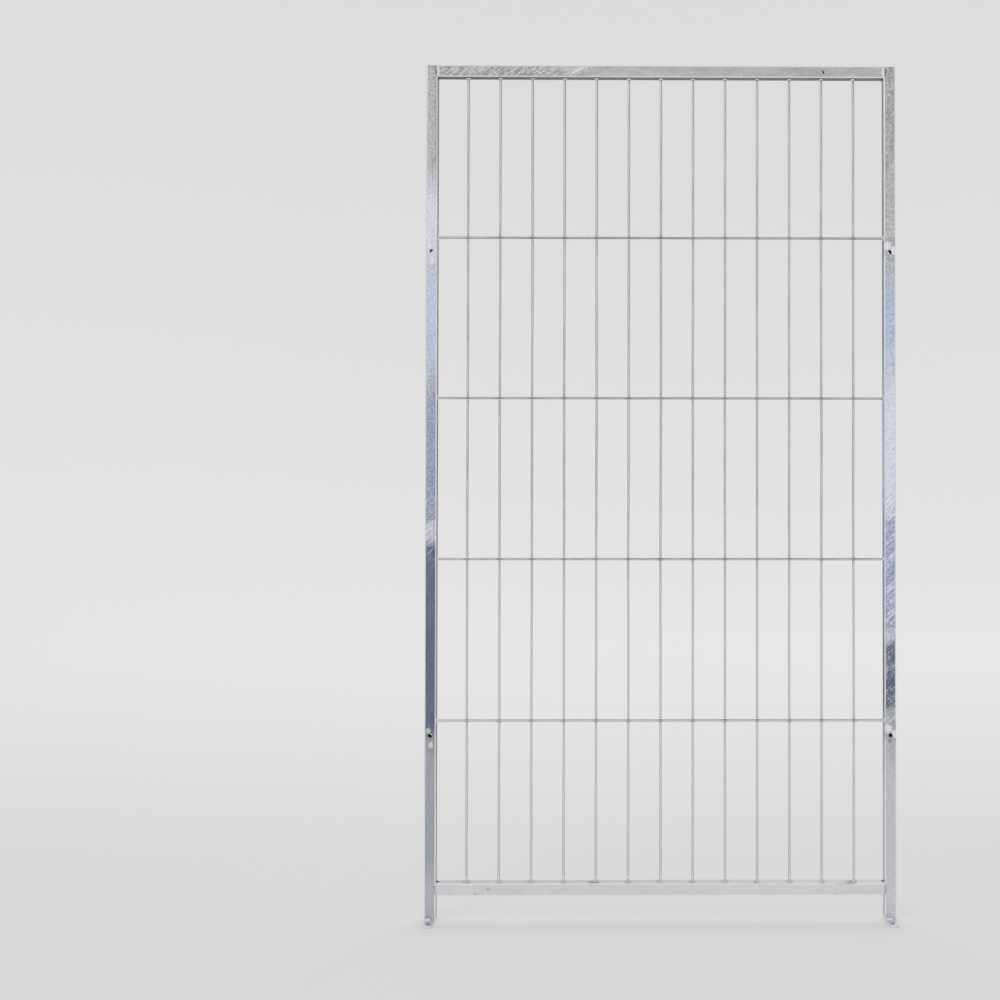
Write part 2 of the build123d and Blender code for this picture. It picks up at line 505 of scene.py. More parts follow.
def tinted(tree, colour, place, bands):
    """Tint a colour along Z in (low, high, fade, strength, tint) stretches."""
    for low, high, fade, strength, tint in bands:
        amount = product(tree, height_mask(tree, place, low, high, fade), strength)
        colour = blend_colour(tree, amount, colour, tint)
    return colour


def toned(tree, colour, gain):
    """Make a colour brighter or darker by a factor, without passing white."""
    return vector_maths(tree, "MINIMUM", lengthened(tree, colour, gain), (0.96, 0.96, 0.97))


# Painted shade: faces turned away from the panel's front and back are darkened towards this colour.
painted_side_shade = (0.07, 0.07, 0.08, 1.0)
side_shade_from = 0.30
aged_glint = (0.40, 0.40, 0.41, 1.0)
# Painted highlight colour for the tubes' rounded edges.
edge_highlight_zinc = (0.94, 0.95, 0.97, 1.0)
# Painted shade: the inside of a tube and the inner part of its cut walls are painted near black.
painted_inner_shade = (0.03, 0.03, 0.03, 1.0)
inner_shade_fade_from = 0.0120  # from the tube's axis, inside the wall
inner_shade_full_at = 0.0116


def plated_tube(
    name, middle, lie, seed, dark, light, mottle, calm, marked, slant, bands, side_shade
):
    """Zinc-plated tube: clouds, tinted stretches, flecks and marks, and painted edge highlights.

    The tube's own space has its axis along Z. Calm and marked are the (low, high) stretches of
    it with few flecks and with most marks, which slant; bands are its tinted stretches. Side
    shade is painted shade on the faces turned aside, from side_shade_from upward on a stile.
    The inside of the tube is painted dark as shade.
    """
    surface, tree, shown, place = start_plating(name)
    centred = vector_maths(tree, "SUBTRACT", place, middle)
    upright = rolled(tree, centred, math.radians(lie))
    cloud = effect(
        tree, blotches, Vector=upright, Stretch=(1.0, 1.0, 0.32), Scale=55.0, Seed=seed
    )
    marks_seen = effect(
        tree, marks, Vector=centred, Angle=math.radians(slant), Coverage=0.6, Seed=seed
    )["Marks"]
    most_marked = ramp(tree, height_mask(tree, upright, *marked, 0.06), 0, 1, 0.08)
    marks_seen = product(tree, marks_seen, most_marked)
    edge = effect(tree, edges, Vector=upright)["Edge"]
    colour = blend_colour(tree, cloud["Clouds"], dark, light)
    colour = tinted(tree, colour, upright, bands)
    fleck_gain = ramp(tree, cloud["Flecks"], 0.0, 1.0, 1 - 0.30 * mottle, 1 + 0.34 * mottle)
    calmed = product(tree, height_mask(tree, upright, *calm, 0.05), 0.75)
    fleck_gain = blend_value(tree, calmed, fleck_gain, 1.0)
    mark_gain = maths(tree, "MULTIPLY_ADD", marks_seen, 1.25 * mottle, 0.96)
    colour = toned(tree, colour, product(tree, fleck_gain, mark_gain))
    # Painted highlight along the rounded edges.
    colour = blend_colour(tree, product(tree, edge, 0.85), colour, edge_highlight_zinc)
    if lie:
        side_shade_amount = side_shade
    else:
        side_shade_amount = product(tree, height_mask(tree, upright, side_shade_from, 9.0, 0.15), side_shade)
    # Painted shade on the faces turned aside.
    aside = product(tree, facing_aside(tree, 0.97, 0.6), side_shade_amount)
    colour = blend_colour(tree, aside, colour, painted_side_shade)
    parts = parts_of(tree, upright)
    off_axis = maths(
        tree, "MAXIMUM", maths(tree, "ABSOLUTE", parts["X"]), maths(tree, "ABSOLUTE", parts["Y"])
    )
    # Painted shade on the tube's inside and the inner part of its cut walls.
    inside = ramp(tree, off_axis, inner_shade_fade_from, inner_shade_full_at)
    feed(tree, shown["Base Color"], blend_colour(tree, inside, colour, painted_inner_shade))
    rough = blend_value(tree, cloud["Clouds"], 0.44, 0.34)
    rough = blend_value(tree, cloud["Flecks"], rough, 0.42)
    rough = blend_value(tree, edge, rough, 0.26)
    feed(tree, shown["Roughness"], blend_value(tree, aside, rough, 0.5))
    shown["Specular Tint"].default_value = aged_glint
    relief = maths(tree, "MULTIPLY_ADD", marks_seen, -0.6, cloud["Flecks"])
    raise_surface(tree, shown, relief, 0.35, 0.00012)
    return surface


def scuff(surface, centre, radius, stretch, strength, colour, roughness, raggedness=1.3):
    """Lay one ragged mark on a surface."""
    tree = surface.node_tree
    seen = effect(
        tree,
        spot,
        Vector=own_space(tree),
        Centre=centre,
        Radius=radius,
        Stretch=stretch,
        Raggedness=raggedness,
    )["Spot"]
    lay_over(surface, product(tree, seen, strength), colour, roughness)


bright_zinc = (0.95, 0.96, 0.98, 1.0)
# Dark zinc, for real burns and soot marks and for painted shade round holes and at weld toes.
soot_and_shade_zinc = (0.06, 0.055, 0.06, 1.0)
hole_shade_width = 0.0025
crack_offset = 0.0085  # inward from the middle of the stile
bottom_seam_height = 0.0675
for side_name, side in (("left", -1), ("right", 1)):
    low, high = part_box(f"stile_{side_name}")
    stile = square_tube(f"stile_tube_{side_name}", low, high, along=2)
    middle = (Vector(low) + Vector(high)) / 2
    for hole_height in screw_hole_heights:
        drill(
            stile,
            screw_hole_radius,
            (middle.x, low.y - drill_past, hole_height),
            (middle.x, high.y + drill_past, hole_height),
        )
    settle(stile)
    if side < 0:
        bands = (
            (1.40, 1.56, 0.05, 0.85, (0.60, 0.63, 0.95, 1.0)),
            (1.17, 1.38, 0.05, 0.85, (0.29, 0.36, 0.69, 1.0)),
            (0.86, 1.13, 0.07, 0.88, (0.145, 0.16, 0.32, 1.0)),
            (0.37, 0.85, 0.05, 0.92, (0.060, 0.064, 0.105, 1.0)),
            (0.80, 0.845, 0.012, 0.75, (0.40, 0.41, 0.62, 1.0)),
            (-1.0, 0.33, 0.06, 0.92, (0.195, 0.205, 0.25, 1.0)),
            (-1.0, 0.10, 0.04, 0.85, (0.31, 0.31, 0.39, 1.0)),
        )
    else:
        bands = (
            (1.17, 1.36, 0.07, 0.85, (0.19, 0.28, 0.54, 1.0)),
            (0.88, 1.16, 0.06, 0.88, (0.50, 0.57, 0.98, 1.0)),
            (0.61, 0.87, 0.04, 0.85, (0.145, 0.16, 0.34, 1.0)),
            (0.44, 0.60, 0.03, 0.88, (0.046, 0.053, 0.088, 1.0)),
            (-1.0, 0.33, 0.05, 0.92, (0.40, 0.385, 0.47, 1.0)),
            (-1.0, 0.10, 0.04, 0.85, (0.47, 0.46, 0.58, 1.0)),
        )
    surface = plated_tube(
        f"plated_stile_{side_name}",
        (middle.x, middle.y, 0.0),
        lie=0,
        seed=2.0 if side < 0 else 7.5,
        dark=(0.17, 0.17, 0.175, 1.0) if side < 0 else (0.23, 0.23, 0.235, 1.0),
        light=(0.28, 0.28, 0.29, 1.0) if side < 0 else (0.36, 0.36, 0.37, 1.0),
        mottle=1.15,
        calm=(-1.0, 0.78 if side < 0 else 0.42),
        marked=(0.40, 0.98) if side > 0 else (0.77, 0.89),
        slant=43,
        bands=bands,
        side_shade=0.85 if side < 0 else 0.6,
    )
    for hole_height in screw_hole_heights:
        if side < 0:
            rubs = ((0.002, -0.020, 0.006, 0.6, bright_zinc), (-0.004, 0.010, 0.006, 0.4, bright_zinc))
        else:
            rubs = (
                (0.002, 0.010, 0.026, 0.75, (0.13, 0.13, 0.18, 1.0)),
                (-0.005, 0.014, 0.009, 1.0, bright_zinc),
                (0.009, 0.003, 0.008, 1.0, bright_zinc),
                (-0.002, -0.012, 0.005, 0.5, soot_and_shade_zinc),
            )
        for across, above, radius, strength, tint in rubs:
            centre = (middle.x + across, low.y, hole_height + above)
            scuff(surface, centre, radius, (1.0, 1.0, 0.8), strength, tint, 0.32)
        # Painted shade: a dark ring round each screw hole, on both faces and down its wall.
        rim = (middle.x, low.y, hole_height)
        hole_shade_reach = screw_hole_radius + hole_shade_width
        scuff(surface, rim, hole_shade_reach, (1.0, 0.0, 1.0), 1.0, soot_and_shade_zinc, 0.5, 0.35)
    seam_strength = 1.0
    for seam_height in (high.z - 0.0125, bottom_seam_height):
        crack = (middle.x - side * crack_offset, low.y, seam_height)
        scuff(surface, crack, 0.011, (4.8, 1.0, 1.0), seam_strength, soot_and_shade_zinc, 0.6, 0.7)
        seam_strength = 0.25
    stile.data.materials.append(surface)
    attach(stile, "root")
    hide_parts(f"stile_{side_name}")


# Rails: the same tube, cut to fit between the stiles. The top rail has a slanted slot that lets
# the plating bath drain, the bottom rail a notch in its top at each end for the same purpose.
# Each bar's weld is circled by a ragged dark ring on the tube, and two of them by a larger burn.
bar_names = sorted(name for name in frame["nodes"] if name.startswith("bar_") and name[4].isdigit())
bar_boxes = [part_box(name) for name in bar_names]
bar_places = [(low + high) / 2 for low, high in bar_boxes]
bar_pitch = bar_places[1].x - bar_places[0].x
bar_radius = (bar_boxes[0][1].x - bar_boxes[0][0].x) / 2
top_low, top_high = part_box("top_rail")
bottom_low, bottom_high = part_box("bottom_rail")
tube_half = (top_high.z - top_low.z) / 2
tube_middle_y = (top_low.y + top_high.y) / 2


def vector(tree, x, y, z):
    """Join three values into a vector."""
    return add_node(tree, "ShaderNodeCombineXYZ", {"X": x, "Y": y, "Z": z}).outputs[0]


# Weld rows: a ragged dark ring round each weld along X.
row_ring, given, made = shared_effect(
    "weld_row_dark_ring",
    {"Vector": None, "First": (0.0, 0.0, 0.0), "Pitch": 0.07, "Radius": 0.008},
    ["Soot"],
)
split = parts_of(row_ring, vector_maths(row_ring, "SUBTRACT", given["Vector"], given["First"]))
steps_along = maths(row_ring, "DIVIDE", split["X"], given["Pitch"])
off_step = maths(row_ring, "SUBTRACT", steps_along, maths(row_ring, "ROUND", steps_along))
nearest = vector(row_ring, product(row_ring, off_step, given["Pitch"]), split["Y"], split["Z"])
share = maths(row_ring, "DIVIDE", length_of(row_ring, nearest), given["Radius"])
ring_noise = noise(row_ring, Vector=given["Vector"], Scale=120.0, Detail=4.0)
feed(row_ring, made["Soot"], ramp(row_ring, stirred(row_ring, share, ring_noise[0], 1.8), 1.05, 0.55))


def weld_row_marks(surface, first, radius, strength, colour):
    """Darken a surface in a ragged ring round each weld of a row along X."""
    tree = surface.node_tree
    seen = effect(
        tree, row_ring, Vector=own_space(tree), First=first, Pitch=bar_pitch, Radius=radius
    )["Soot"]
    lay_over(surface, product(tree, seen, strength), colour, 0.55)


def finish_rail(rail, surface, node):
    """Give a rail its surface and seat it in the frame."""
    settle(rail)
    rail.data.materials.append(surface)
    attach(rail, "root")
    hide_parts(node)


top_rail = square_tube("top_rail_tube", top_low, top_high, along=0)
slot_length = 0.0085
slot_width = 0.0035
slot_lean = math.radians(-60)
slot_centre = Vector((top_high.x - 0.129, top_low.y, top_low.z + tube_half))
slot_step = (slot_length - slot_width) / 2
slot_end = Vector((math.cos(slot_lean), 0.0, math.sin(slot_lean))) * slot_step
slot_outline = []
for end, start_angle in ((1, -90), (-1, 90)):
    for angle in range(0, 181, 15):
        turn = slot_lean + math.radians(start_angle + angle)
        rounded = Vector((math.cos(turn), 0.0, math.sin(turn))) * slot_width / 2
        slot_outline.append(slot_centre + slot_end * end + rounded)
shape = bmesh.new()
slot_rings = []
for reach in (-2 * tube_wall, 2 * tube_wall):
    slot_rings.append([shape.verts.new(p + Vector((0.0, reach, 0.0))) for p in slot_outline])
shape.faces.new(slot_rings[0])
shape.faces.new(reversed(slot_rings[1]))
for n in range(len(slot_outline)):
    m = (n + 1) % len(slot_outline)
    shape.faces.new((slot_rings[0][n], slot_rings[1][n], slot_rings[1][m], slot_rings[0][m]))
bmesh.ops.recalc_face_normals(shape, faces=shape.faces)
cut_out(top_rail, finished_mesh("slot", shape))
surface = plated_tube(
    "plated_top_rail",
    (0.0, tube_middle_y, top_low.z + tube_half),
    lie=-90,
    seed=4.2,
    dark=(0.27, 0.27, 0.27, 1.0),
    light=(0.43, 0.43, 0.43, 1.0),
    mottle=1.2,
    calm=(-0.15, 0.6),
    marked=(-0.6, -0.17),
    slant=33,
    bands=((-0.6, -0.22, 0.05, 0.8, (0.15, 0.15, 0.15, 1.0)),),
    side_shade=0.92,
)
weld_row_marks(
    surface, (bar_places[0].x, bar_places[0].y, top_low.z), 0.0075, 0.75, soot_and_shade_zinc
)
finish_rail(top_rail, surface, "top_rail")

notch_radius = 0.004
notch_inset = 0.003
notch_back = 0.002
bottom_rail = square_tube("bottom_rail_tube", bottom_low, bottom_high, along=0)
for end_x, inward in ((bottom_low.x, 1), (bottom_high.x, -1)):
    notch_x = end_x + inward * notch_inset
    drill(
        bottom_rail,
        notch_radius,
        (notch_x, tube_middle_y + notch_back, bottom_high.z - 2 * tube_wall),
        (notch_x, tube_middle_y + notch_back, bottom_high.z + drill_past),
    )
surface = plated_tube(
    "plated_bottom_rail",
    (0.0, tube_middle_y, bottom_low.z + tube_half),
    lie=-90,
    seed=9.1,
    dark=(0.52, 0.50, 0.54, 1.0),
    light=(0.66, 0.63, 0.68, 1.0),
    mottle=0.4,
    calm=(-0.6, 0.6),
    marked=(2.0, 3.0),
    slant=43,
    bands=((0.0, 0.6, 0.3, 0.5, (0.70, 0.69, 0.78, 1.0)),),
    side_shade=0.3,
)
weld_row_marks(
    surface, (bar_places[0].x, bar_places[0].y - 0.001, bottom_high.z), 0.009, 0.9, soot_and_shade_zinc
)
for bar_index, burn_radius in ((4, 0.010), (12, 0.012)):
    burn_centre = (bar_places[bar_index].x - 0.008, bottom_low.y + 0.009, bottom_high.z)
    scuff(surface, burn_centre, burn_radius, (0.8, 0.9, 2.2), 0.85, soot_and_shade_zinc, 0.6)
streak_centre = (bar_places[12].x - 0.024, bottom_low.y + 0.001, bottom_high.z - 0.001)
scuff(surface, streak_centre, 0.013, (0.6, 1.0, 4.5), 0.55, soot_and_shade_zinc, 0.6)
small_marks = (
    (bar_places[0].x + 0.048, 0.0135, 0.0055),
    (bar_places[0].x + 0.021, 0.002, 0.004),
    (bar_places[12].x - 0.040, 0.002, 0.004),
)
for mark_x, mark_height, mark_radius in small_marks:
    mark_centre = (mark_x, bottom_low.y, bottom_low.z + mark_height)
    scuff(surface, mark_centre, mark_radius, (1.0, 1.0, 1.0), 0.75, soot_and_shade_zinc, 0.55)
finish_rail(bottom_rail, surface, "bottom_rail")


# Upright bars: drawn round steel, sheared to length, set on the bottom rail and plated with the
# rest. A drawn bar is never quite straight, and beside each weld it carries a ring of painted shade.
def open_tree(name, numbers):
    """Start a geometry tree with a mesh input, named number inputs, a seed and a material."""
    tree = bpy.data.node_groups.new(name, "GeometryNodeTree")
    tree.interface.new_socket("Geometry", in_out="INPUT", socket_type="NodeSocketGeometry")
    for label, value in numbers.items():
        kind = "NodeSocketVector" if isinstance(value, tuple) else "NodeSocketFloat"
        if isinstance(value, int):
            kind = "NodeSocketInt"
        socket = tree.interface.new_socket(label, in_out="INPUT", socket_type=kind)
        socket.default_value = value
    tree.interface.new_socket("Surface", in_out="INPUT", socket_type="NodeSocketMaterial")
    tree.interface.new_socket("Geometry", in_out="OUTPUT", socket_type="NodeSocketGeometry")
    return tree, tree.nodes.new("NodeGroupInput").outputs


def close_tree(tree, geometry, surface):
    """End a tree: make its copies real and give them their surface."""
    real = add_node(tree, "GeometryNodeRealizeInstances", {"Geometry": geometry})
    dressed = add_node(
        tree, "GeometryNodeSetMaterial", {"Geometry": real.outputs[0], "Material": surface}
    )
    made = tree.nodes.new("NodeGroupOutput")
    tree.links.new(dressed.outputs[0], made.inputs["Geometry"])


def grow(name, tree, surface, points=(), **values):
    """Run a tree on a handful of points and keep what it makes as a plain mesh."""
    mesh = bpy.data.meshes.new(name)
    mesh.from_pydata([tuple(point) for point in points], [], [])
    piece = put_in_scene(name, mesh)
    grown = piece.modifiers.new("grown", "NODES")
    grown.node_group = tree
    sockets = {item.name: item.identifier for item in tree.interface.items_tree
               if item.in_out == "INPUT"}
    for label, value in values.items():
        grown[sockets[label.replace("_", " ")]] = value
    grown[sockets["Surface"]] = surface
    return settle(piece)


def pushed_about(tree, geometry, noise_colour, amount):
    """Move the points of a shape by a noise's colour, to both sides alike."""
    both_ways = vector_maths(tree, "SUBTRACT", noise_colour, (0.5, 0.5, 0.5))
    inputs = {"Geometry": geometry, "Offset": lengthened(tree, both_ways, amount)}
    return add_node(tree, "GeometryNodeSetPosition", inputs).outputs[0]


bar, given = open_tree(
    "drawn_bar",
    {"Start": (0.0, 0.0, 0.0), "End": (0.0, 0.0, 1.0), "Radius": 0.003, "Bow": 0.0005, "Seed": 0.0},
)
line = add_node(
    bar, "GeometryNodeCurvePrimitiveLine", {"Start": given["Start"], "End": given["End"]}
)
stretches = add_node(
    bar, "GeometryNodeResampleCurve", {"Curve": line.outputs[0], "Count": 61}
)
spline_place = add_node(bar, "GeometryNodeSplineParameter").outputs["Factor"]
from_ends = maths(bar, "SINE", product(bar, spline_place, math.pi))
wander_place = maths(bar, "MULTIPLY_ADD", spline_place, 3.5, given["Seed"])
wander = noise(bar, "1D", W=wander_place, Scale=1.0, Detail=1.0)
bow_now = product(bar, product(bar, from_ends, given["Bow"]), 2.0)
bent = pushed_about(bar, stretches.outputs[0], wander[1], bow_now)
section = add_node(
    bar, "GeometryNodeCurvePrimitiveCircle", {"Resolution": 18, "Radius": given["Radius"]}
)
swept = add_node(
    bar,
    "GeometryNodeCurveToMesh",
    {"Curve": bent, "Profile Curve": section.outputs[0], "Fill Caps": True},
)
close_tree(bar, swept.outputs[0], given["Surface"])


def plated_bar(name, along, first_weld, weld_step, seed, dark, light, bands):
    """Zinc-plated drawn bar: lengthwise die lines and a ring of painted shade beside each weld."""
    surface, tree, shown, place = start_plating(name)
    stretch = tuple(0.12 if axis == along else 1.0 for axis in range(3))
    cloud = effect(tree, blotches, Vector=place, Stretch=stretch, Scale=120.0, Seed=seed)
    from_first = maths(tree, "SUBTRACT", parts_of(tree, place)["XYZ"[along]], first_weld)
    steps_along = maths(tree, "DIVIDE", from_first, weld_step)
    off_step = maths(tree, "SUBTRACT", steps_along, maths(tree, "ROUND", steps_along))
    off_weld = product(tree, maths(tree, "ABSOLUTE", off_step), weld_step)
    stir = noise(tree, Vector=place, Scale=140.0, Detail=3.0)[0]
    crossing_shade = ramp(tree, stirred(tree, off_weld, stir, 0.008), 0.009, 0.003)
    colour = blend_colour(tree, cloud["Clouds"], dark, light)
    colour = tinted(tree, colour, place, bands)
    colour = toned(tree, colour, ramp(tree, cloud["Flecks"], 0.0, 1.0, 0.8, 1.35))
    # Painted shade on the bar round each crossing.
    colour = blend_colour(tree, product(tree, crossing_shade, 0.6), colour, (0.12, 0.11, 0.13, 1.0))
    # Painted shade on the faces turned aside, which darkens the bar's outlines.
    aside = product(tree, facing_aside(tree, 0.90, 0.50), 0.95)
    feed(tree, shown["Base Color"], blend_colour(tree, aside, colour, painted_side_shade))
    rough = blend_value(tree, cloud["Flecks"], 0.30, 0.42)
    feed(tree, shown["Roughness"], blend_value(tree, crossing_shade, rough, 0.5))
    shown["Specular Tint"].default_value = (0.15, 0.15, 0.16, 1.0)
    raise_surface(tree, shown, cloud["Flecks"], 0.3, 0.0001)
    return surface


cross_names = sorted(name for name in frame["nodes"] if name.startswith("cross_bar_")
                     and name[-1].isdigit())
cross_boxes = [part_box(name) for name in cross_names]
cross_places = [(low + high) / 2 for low, high in cross_boxes]
bay_height = cross_places[0].z - cross_places[1].z
upright_surface = plated_bar(
    "plated_upright_bar",
    along=2,
    first_weld=cross_places[0].z,
    weld_step=bay_height,
    seed=1.0,
    dark=(0.26, 0.26, 0.28, 1.0),
    light=(0.42, 0.42, 0.44, 1.0),
    bands=(
        (-1.0, 0.75, 0.20, 0.7, (0.58, 0.58, 0.62, 1.0)),
        (-1.0, bottom_high.z + 0.012, 0.004, 0.9, (0.94, 0.94, 0.95, 1.0)),
    ),
)
for number, (name, (low, high), middle) in enumerate(zip(bar_names, bar_boxes, bar_places), 1):
    upright = grow(
        f"upright_{number:02d}",
        bar,
        upright_surface,
        Start=(middle.x, middle.y, low.z),
        End=(middle.x, middle.y, high.z),
        Radius=bar_radius,
        Bow=0.0009,
        Seed=number * 7.31,
    )
    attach(upright, "root")
    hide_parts(name)


# Cross bars: the same drawn bar laid across the front of the uprights and pressed into each one
# as they were resistance-welded, with the ends butted on the stiles.
cross_surface = plated_bar(
    "plated_cross_bar",
    along=0,
    first_weld=bar_places[0].x,
    weld_step=bar_pitch,
    seed=3.0,
    dark=(0.18, 0.18, 0.20, 1.0),
    light=(0.34, 0.34, 0.36, 1.0),
    bands=((-1.0, 0.75, 0.20, 0.7, (0.50, 0.50, 0.54, 1.0)),),
)
cross_radius = (cross_boxes[0][1].z - cross_boxes[0][0].z) / 2
for number, (name, (low, high), middle) in enumerate(
    zip(cross_names, cross_boxes, cross_places), 1
):
    cross = grow(
        f"cross_{number}",
        bar,
        cross_surface,
        Start=(low.x, low.y + cross_radius, middle.z),
        End=(high.x, low.y + cross_radius, middle.z),
        Radius=cross_radius,
        Bow=0.0004,
        Seed=number * 5.17,
    )
    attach(cross, "root")
    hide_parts(name)


# Feet: short flat bar with rounded corners across the open lower end of each stile, reaching
# forward to an anchor hole. Sheared and punched, so its edges are slightly broken.
foot_corner = 0.002
foot_break = 0.0004
anchor_holes = next(m for m in frame["record"]["mounts"] if m["name"] == "foot_anchor_holes")
anchor_hole_radius = anchor_holes["dims"]["hole_r_mm"] / 1000
anchor_shade_reach = 0.0062
front_bright_reach = 0.013
foot_plating, tree, shown, place = start_plating("plated_foot")
cloud = effect(tree, blotches, Vector=place, Scale=70.0, Seed=5.0)
colour = blend_colour(tree, cloud["Clouds"], (0.22, 0.22, 0.24, 1.0), (0.50, 0.49, 0.53, 1.0))
flecked = product(tree, cloud["Flecks"], 0.6)
colour = blend_colour(tree, flecked, colour, (0.85, 0.85, 0.87, 1.0))
feed(tree, shown["Base Color"], colour)
feed(tree, shown["Roughness"], blend_value(tree, cloud["Flecks"], 0.34, 0.46))
for side_name in ("left", "right"):
    low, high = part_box(f"foot_{side_name}")
    hole_place = ((low.x + high.x) / 2, anchor_holes["pos_m"][1])
    # Painted shade: a dark ring round the anchor hole, on both faces and down its wall.
    anchor_shade_centre = (*hole_place, high.z)
    scuff(
        foot_plating, anchor_shade_centre, anchor_shade_reach, (1.0, 1.0, 0.0), 0.9, soot_and_shade_zinc, 0.5, 0.35
    )
    # A bright streak along the plate's top front edge.
    front_edge = (hole_place[0], low.y, high.z)
    scuff(
        foot_plating, front_edge, front_bright_reach, (1.0, 3.6, 3.6), 0.9, bright_zinc, 0.3, 0.35
    )
    outline = []
    corners = ((high.x, high.y), (low.x, high.y), (low.x, low.y), (high.x, low.y))
    for quarter, (x, y) in enumerate(corners):
        centre_x = x - foot_corner if x == high.x else x + foot_corner
        centre_y = y - foot_corner if y == high.y else y + foot_corner
        for angle in range(0, 91, 15):
            turn = math.radians(90 * quarter + angle)
            outline.append((centre_x, centre_y, math.cos(turn), math.sin(turn)))
    levels = (
        (low.z, foot_corner - foot_break),
        (low.z + foot_break, foot_corner),
        (high.z - foot_break, foot_corner),
        (high.z, foot_corner - foot_break),
    )
    shape = bmesh.new()
    rings = []
    for height, reach in levels:
        rings.append(
            [shape.verts.new((x + c * reach, y + s * reach, height)) for x, y, c, s in outline]
        )
    for below, above in zip(rings, rings[1:]):
        for n in range(len(outline)):
            m = (n + 1) % len(outline)
            shape.faces.new((below[n], below[m], above[m], above[n]))
    shape.faces.new(reversed(rings[0]))
    shape.faces.new(rings[-1])
    name = f"foot_plate_{side_name}"
    foot = put_in_scene(name, finished_mesh(name, shape))
    drill_start = (*hole_place, low.z - drill_past)
    drill_end = (*hole_place, high.z + drill_past)
    drill(foot, anchor_hole_radius, drill_start, drill_end)
    foot.data.materials.append(foot_plating)
    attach(foot, "root")
    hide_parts(f"foot_{side_name}")


# Weld metal: laid before plating, so it is zinc-bright on top, with painted shade where it meets the
# steel.
def weld_metal(name, dark, light):
    """Plated weld metal, with painted shade where the rise attribute says that it meets the steel."""
    surface, tree, shown, place = start_plating(name)
    rise = add_node(tree, "ShaderNodeAttribute", attribute_name="rise").outputs["Fac"]
    cloud = effect(tree, blotches, Vector=place, Scale=190.0, Seed=8.0)
    # Painted shade at the weld's toe; the rest shows the weld's own colour.
    clear_of_toe = ramp(tree, stirred(tree, rise, cloud["Clouds"], 0.25), 0.10, 0.38)
    colour = blend_colour(tree, cloud["Clouds"], dark, light)
    feed(tree, shown["Base Color"], blend_colour(tree, clear_of_toe, soot_and_shade_zinc, colour))
    feed(tree, shown["Roughness"], blend_value(tree, clear_of_toe, 0.6, 0.30))
    return surface


bright_weld = weld_metal("bright_weld", (0.60, 0.60, 0.62, 1.0), (0.95, 0.95, 0.96, 1.0))
dull_weld = weld_metal("dull_weld", (0.26, 0.26, 0.28, 1.0), (0.46, 0.46, 0.49, 1.0))


def point_parts(tree):
    """Give the X, Y and Z of each point of a shape."""
    return parts_of(tree, add_node(tree, "GeometryNodeInputPosition").outputs[0])


def unit_rod(tree, around, rings):
    """Start from a round rod one unit long and in radius; return it and its point's parts."""
    inputs = {"Vertices": around, "Side Segments": rings, "Radius": 1.0, "Depth": 1.0}
    rod = add_node(tree, "GeometryNodeMeshCylinder", inputs).outputs["Mesh"]
    return rod, point_parts(tree)


def keep_rise(tree, geometry, value):
    """Write the value that tells the weld's surface how far a point stands clear of the steel."""
    return add_node(
        tree,
        "GeometryNodeStoreNamedAttribute",
        {"Geometry": geometry, "Name": "rise", "Value": value},
        data_type="FLOAT",
        domain="POINT",
    ).outputs[0]


def shape_weld(tree, blank, rise, x, y, z):
    """Write how far the points of a blank stand clear, and move them to the weld's shape."""
    inputs = {"Geometry": keep_rise(tree, blank, rise), "Position": vector(tree, x, y, z)}
    return add_node(tree, "GeometryNodeSetPosition", inputs).outputs[0]


def scatter_uneven(tree, geometry, amount, fineness, seed):
    """Push every point about by a smooth noise, so no two copies are alike."""
    smooth = noise(tree, "4D", W=seed, Scale=fineness, Detail=2.0)
    return pushed_about(tree, geometry, smooth[1], amount)


def copies(tree, points, shape, turn):
    """Put a copy of a shape on every point and make the copies real."""
    inputs = {"Points": points, "Instance": shape, "Rotation": turn}
    placed = add_node(tree, "GeometryNodeInstanceOnPoints", inputs).outputs[0]
    return add_node(tree, "GeometryNodeRealizeInstances", {"Geometry": placed}).outputs[0]


def finish_weld(weld, node):
    """Seat a weld in the frame."""
    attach(weld, "root")
    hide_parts(node)


# Bar end welds: a low ring of weld round each bar's end, wider at the tube than at the bar.
collar, given = open_tree(
    "weld_collar",
    {
        "Bar Radius": 0.003,
        "Foot": 0.0014,
        "Neck": 0.0004,
        "Height": 0.0016,
        "Turn": (0.0, 0.0, 0.0),
        "Unevenness": 0.0008,
        "Seed": 0.0,
    },
)
rod, part = unit_rod(collar, 24, 6)
up = maths(collar, "ADD", part["Z"], 0.5)
flare = maths(collar, "POWER", maths(collar, "SUBTRACT", 1.0, up), 1.6)
spread = maths(collar, "SUBTRACT", given["Foot"], given["Neck"])
neck_radius = maths(collar, "ADD", given["Bar Radius"], given["Neck"])
reach = maths(collar, "ADD", neck_radius, product(collar, flare, spread))
shaped = shape_weld(
    collar,
    rod,
    up,
    product(collar, part["X"], reach),
    product(collar, part["Y"], reach),
    product(collar, up, given["Height"]),
)
placed = copies(collar, given["Geometry"], shaped, given["Turn"])
placed = scatter_uneven(collar, placed, given["Unevenness"], 420.0, given["Seed"])
close_tree(collar, placed, given["Surface"])

collar_height = 0.0016
bottom_welds = grow(
    "bar_foot_welds",
    collar,
    bright_weld,
    points=[(p.x, p.y, bottom_high.z) for p in bar_places],
    Height=collar_height,
)
finish_weld(bottom_welds, "bar_bottom_welds")
top_welds = grow(
    "bar_head_welds",
    collar,
    bright_weld,
    points=[(p.x, p.y, top_low.z) for p in bar_places],
    Turn=(math.pi, 0.0, 0.0),
    Height=collar_height,
    Seed=3.0,
)
finish_weld(top_welds, "bar_top_welds")

